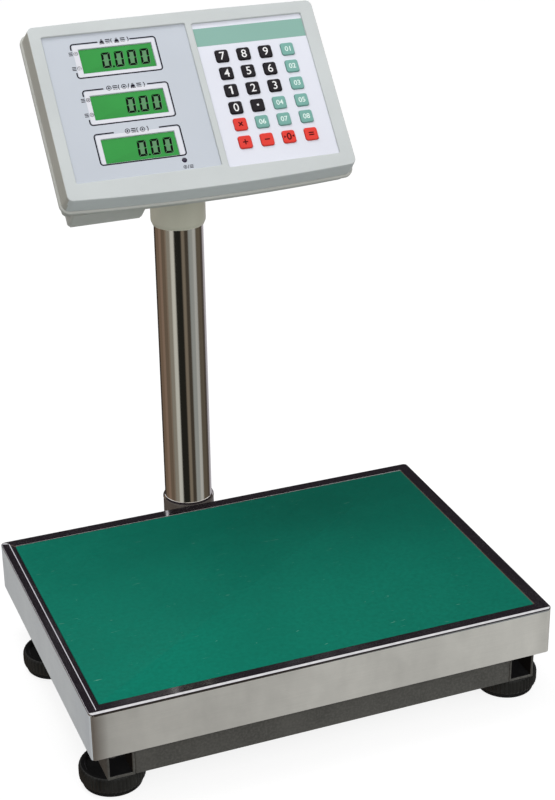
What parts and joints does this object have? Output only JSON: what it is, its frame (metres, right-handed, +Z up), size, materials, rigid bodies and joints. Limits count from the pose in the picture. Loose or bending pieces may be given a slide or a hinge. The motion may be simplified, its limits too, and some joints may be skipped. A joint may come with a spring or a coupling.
{
  "type": "price computing platform scale",
  "caption": "Low platform weighing scale with a stainless pan, screw feet and a tilting keypad and display head on a polished rear column.",
  "frame": {"origin": "on the floor, centred under the whole object's box in X and Y", "axes": "+Z up, the operator and the front of the pan are on the -Y side, +X to the operator's right"},
  "size_m": [0.4064, 0.3786, 0.5315],
  "materials": {
    "frame_paint": "satin dark grey powder coat on steel tube",
    "cell_alloy": "machined and anodised",
    "foot_plastic": "moulded black plastic with a ribbed rim",
    "sole_rubber": "black non-slip rubber",
    "pan_stainless": "brushed stainless skirt with a polished rim",
    "platter_green": "smooth green coating, fine scuffs",
    "column_polished": "mirror-polished stainless tube",
    "cable_jacket": "black cable jacket",
    "neck_plastic": "moulded cream plastic",
    "bezel_plastic": "moulded light grey plastic, fine grain",
    "shell_plastic": "moulded grey plastic, fine grain",
    "display_sheet": "printed polyester sheet, pale lavender grey",
    "keypad_sheet": "printed polyester sheet, off-white with a green band",
    "readout_green": "back-lit green liquid crystal readout",
    "lamp_lens": "dark lamp lens, unlit",
    "circuit_board": "green circuit board",
    "battery_case": "moulded black battery case",
    "switch_plastic": "glossy black plastic",
    "bolt_steel": "zinc-plated steel",
    "key_black": "black moulded key with white figure",
    "key_teal": "grey-green moulded key",
    "key_red": "red moulded key"
  },
  "bodies": {
    "base": {"left_side_tube": "frame_paint", "right_side_tube": "frame_paint", "front_cross_tube": "frame_paint", "rear_cross_tube": "frame_paint", "load_cell_beam": "frame_paint", "load_cell": "cell_alloy", "upper_frame": "frame_paint", "column_bracket": "frame_paint", "column_tube": "column_polished", "signal_cable": "cable_jacket"},
    "pan": {"pan_shell": "pan_stainless", "platter_plate": "platter_green"},
    "neck": {"neck": "neck_plastic"},
    "head": {"front_bezel": "bezel_plastic", "display_panel": "display_sheet", "keypad_panel": "keypad_sheet", "weight_readout": "readout_green", "unit_price_readout": "readout_green", "total_price_readout": "readout_green", "power_lamp": "lamp_lens", "keypad_board": "circuit_board", "main_board": "circuit_board", "rear_shell": "shell_plastic", "battery": "battery_case", "power_inlet": "switch_plastic", "tilt_bolt": "bolt_steel"},
    "battery_cover": {"battery_cover": "shell_plastic"},
    "power_switch": {"power_switch": "switch_plastic"},
    "front_left_foot_sole": {"front_left_foot_sole": "sole_rubber"},
    "front_left_foot_knob": {"front_left_foot_knob": "foot_plastic"},
    "rear_left_foot_sole": {"rear_left_foot_sole": "sole_rubber"},
    "rear_left_foot_knob": {"rear_left_foot_knob": "foot_plastic"},
    "front_right_foot_sole": {"front_right_foot_sole": "sole_rubber"},
    "front_right_foot_knob": {"front_right_foot_knob": "foot_plastic"},
    "rear_right_foot_sole": {"rear_right_foot_sole": "sole_rubber"},
    "rear_right_foot_knob": {"rear_right_foot_knob": "foot_plastic"},
    "key_7": {"key_7": "key_black"},
    "key_8": {"key_8": "key_black"},
    "key_9": {"key_9": "key_black"},
    "key_memory_1": {"key_memory_1": "key_teal"},
    "key_4": {"key_4": "key_black"},
    "key_5": {"key_5": "key_black"},
    "key_6": {"key_6": "key_black"},
    "key_memory_2": {"key_memory_2": "key_teal"},
    "key_1": {"key_1": "key_black"},
    "key_2": {"key_2": "key_black"},
    "key_3": {"key_3": "key_black"},
    "key_memory_3": {"key_memory_3": "key_teal"},
    "key_0": {"key_0": "key_black"},
    "key_point": {"key_point": "key_black"},
    "key_memory_4": {"key_memory_4": "key_teal"},
    "key_memory_5": {"key_memory_5": "key_teal"},
    "key_clear": {"key_clear": "key_red"},
    "key_memory_6": {"key_memory_6": "key_teal"},
    "key_memory_7": {"key_memory_7": "key_teal"},
    "key_memory_8": {"key_memory_8": "key_teal"},
    "key_add": {"key_add": "key_red"},
    "key_tare": {"key_tare": "key_red"},
    "key_zero_set": {"key_zero_set": "key_red"},
    "key_total": {"key_total": "key_red"}
  },
  "joints": [
    {"name": "pan_lift", "type": "slide", "parent": "base", "child": "pan", "axis": [0, 0, 1], "range_m": [0, 0.15]},
    {"name": "head_swivel", "type": "hinge", "parent": "base", "child": "neck", "pos_m": [0, 0.16245, 0.37], "axis": [0, 0, 1], "range_deg": [-170, 170]},
    {"name": "head_tilt", "type": "hinge", "parent": "neck", "child": "head", "pos_m": [0, 0.16247, 0.46045], "axis": [1, 0, 0], "range_deg": [-15, 20]},
    {"name": "battery_cover_slide", "type": "slide", "parent": "head", "child": "battery_cover", "axis": [0, -0.6555, -0.7552], "range_m": [0, 0.11]},
    {"name": "power_switch_rock", "type": "hinge", "parent": "head", "child": "power_switch", "pos_m": [0.092, 0.0986, 0.41433], "axis": [0, 0.6555, 0.7552], "range_deg": [0, 16]},
    {"name": "front_left_foot_height", "type": "slide", "parent": "base", "child": "front_left_foot_sole", "axis": [0, 0, 1], "range_m": [-0.01, 0.002]},
    {"name": "front_left_foot_turn", "type": "hinge", "parent": "front_left_foot_sole", "child": "front_left_foot_knob", "pos_m": [-0.17625, -0.15745, 0.012], "axis": [0, 0, 1], "range_deg": [-2400, 480]},
    {"name": "rear_left_foot_height", "type": "slide", "parent": "base", "child": "rear_left_foot_sole", "axis": [0, 0, 1], "range_m": [-0.01, 0.002]},
    {"name": "rear_left_foot_turn", "type": "hinge", "parent": "rear_left_foot_sole", "child": "rear_left_foot_knob", "pos_m": [-0.17625, 0.01935, 0.012], "axis": [0, 0, 1], "range_deg": [-2400, 480]},
    {"name": "front_right_foot_height", "type": "slide", "parent": "base", "child": "front_right_foot_sole", "axis": [0, 0, 1], "range_m": [-0.01, 0.002]},
    {"name": "front_right_foot_turn", "type": "hinge", "parent": "front_right_foot_sole", "child": "front_right_foot_knob", "pos_m": [0.17625, -0.15745, 0.012], "axis": [0, 0, 1], "range_deg": [-2400, 480]},
    {"name": "rear_right_foot_height", "type": "slide", "parent": "base", "child": "rear_right_foot_sole", "axis": [0, 0, 1], "range_m": [-0.01, 0.002]},
    {"name": "rear_right_foot_turn", "type": "hinge", "parent": "rear_right_foot_sole", "child": "rear_right_foot_knob", "pos_m": [0.17625, 0.01935, 0.012], "axis": [0, 0, 1], "range_deg": [-2400, 480]},
    {"name": "key_7_press", "type": "slide", "parent": "head", "child": "key_7", "axis": [0, 0.7552, -0.6555], "range_m": [0, 0.0008], "stiffness_N_per_m": 600},
    {"name": "key_8_press", "type": "slide", "parent": "head", "child": "key_8", "axis": [0, 0.7552, -0.6555], "range_m": [0, 0.0008], "stiffness_N_per_m": 600},
    {"name": "key_9_press", "type": "slide", "parent": "head", "child": "key_9", "axis": [0, 0.7552, -0.6555], "range_m": [0, 0.0008], "stiffness_N_per_m": 600},
    {"name": "key_memory_1_press", "type": "slide", "parent": "head", "child": "key_memory_1", "axis": [0, 0.7552, -0.6555], "range_m": [0, 0.0008], "stiffness_N_per_m": 600},
    {"name": "key_4_press", "type": "slide", "parent": "head", "child": "key_4", "axis": [0, 0.7552, -0.6555], "range_m": [0, 0.0008], "stiffness_N_per_m": 600},
    {"name": "key_5_press", "type": "slide", "parent": "head", "child": "key_5", "axis": [0, 0.7552, -0.6555], "range_m": [0, 0.0008], "stiffness_N_per_m": 600},
    {"name": "key_6_press", "type": "slide", "parent": "head", "child": "key_6", "axis": [0, 0.7552, -0.6555], "range_m": [0, 0.0008], "stiffness_N_per_m": 600},
    {"name": "key_memory_2_press", "type": "slide", "parent": "head", "child": "key_memory_2", "axis": [0, 0.7552, -0.6555], "range_m": [0, 0.0008], "stiffness_N_per_m": 600},
    {"name": "key_1_press", "type": "slide", "parent": "head", "child": "key_1", "axis": [0, 0.7552, -0.6555], "range_m": [0, 0.0008], "stiffness_N_per_m": 600},
    {"name": "key_2_press", "type": "slide", "parent": "head", "child": "key_2", "axis": [0, 0.7552, -0.6555], "range_m": [0, 0.0008], "stiffness_N_per_m": 600},
    {"name": "key_3_press", "type": "slide", "parent": "head", "child": "key_3", "axis": [0, 0.7552, -0.6555], "range_m": [0, 0.0008], "stiffness_N_per_m": 600},
    {"name": "key_memory_3_press", "type": "slide", "parent": "head", "child": "key_memory_3", "axis": [0, 0.7552, -0.6555], "range_m": [0, 0.0008], "stiffness_N_per_m": 600},
    {"name": "key_0_press", "type": "slide", "parent": "head", "child": "key_0", "axis": [0, 0.7552, -0.6555], "range_m": [0, 0.0008], "stiffness_N_per_m": 600},
    {"name": "key_point_press", "type": "slide", "parent": "head", "child": "key_point", "axis": [0, 0.7552, -0.6555], "range_m": [0, 0.0008], "stiffness_N_per_m": 600},
    {"name": "key_memory_4_press", "type": "slide", "parent": "head", "child": "key_memory_4", "axis": [0, 0.7552, -0.6555], "range_m": [0, 0.0008], "stiffness_N_per_m": 600},
    {"name": "key_memory_5_press", "type": "slide", "parent": "head", "child": "key_memory_5", "axis": [0, 0.7552, -0.6555], "range_m": [0, 0.0008], "stiffness_N_per_m": 600},
    {"name": "key_clear_press", "type": "slide", "parent": "head", "child": "key_clear", "axis": [0, 0.7552, -0.6555], "range_m": [0, 0.0008], "stiffness_N_per_m": 600},
    {"name": "key_memory_6_press", "type": "slide", "parent": "head", "child": "key_memory_6", "axis": [0, 0.7552, -0.6555], "range_m": [0, 0.0008], "stiffness_N_per_m": 600},
    {"name": "key_memory_7_press", "type": "slide", "parent": "head", "child": "key_memory_7", "axis": [0, 0.7552, -0.6555], "range_m": [0, 0.0008], "stiffness_N_per_m": 600},
    {"name": "key_memory_8_press", "type": "slide", "parent": "head", "child": "key_memory_8", "axis": [0, 0.7552, -0.6555], "range_m": [0, 0.0008], "stiffness_N_per_m": 600},
    {"name": "key_add_press", "type": "slide", "parent": "head", "child": "key_add", "axis": [0, 0.7552, -0.6555], "range_m": [0, 0.0008], "stiffness_N_per_m": 600},
    {"name": "key_tare_press", "type": "slide", "parent": "head", "child": "key_tare", "axis": [0, 0.7552, -0.6555], "range_m": [0, 0.0008], "stiffness_N_per_m": 600},
    {"name": "key_zero_set_press", "type": "slide", "parent": "head", "child": "key_zero_set", "axis": [0, 0.7552, -0.6555], "range_m": [0, 0.0008], "stiffness_N_per_m": 600},
    {"name": "key_total_press", "type": "slide", "parent": "head", "child": "key_total", "axis": [0, 0.7552, -0.6555], "range_m": [0, 0.0008], "stiffness_N_per_m": 600}
  ],
  "couplings": [
    {"joint": "front_left_foot_height", "follows": "front_left_foot_turn", "m_per_rad": 0.00023873},
    {"joint": "rear_left_foot_height", "follows": "rear_left_foot_turn", "m_per_rad": 0.00023873},
    {"joint": "front_right_foot_height", "follows": "front_right_foot_turn", "m_per_rad": 0.00023873},
    {"joint": "rear_right_foot_height", "follows": "rear_right_foot_turn", "m_per_rad": 0.00023873}
  ]
}
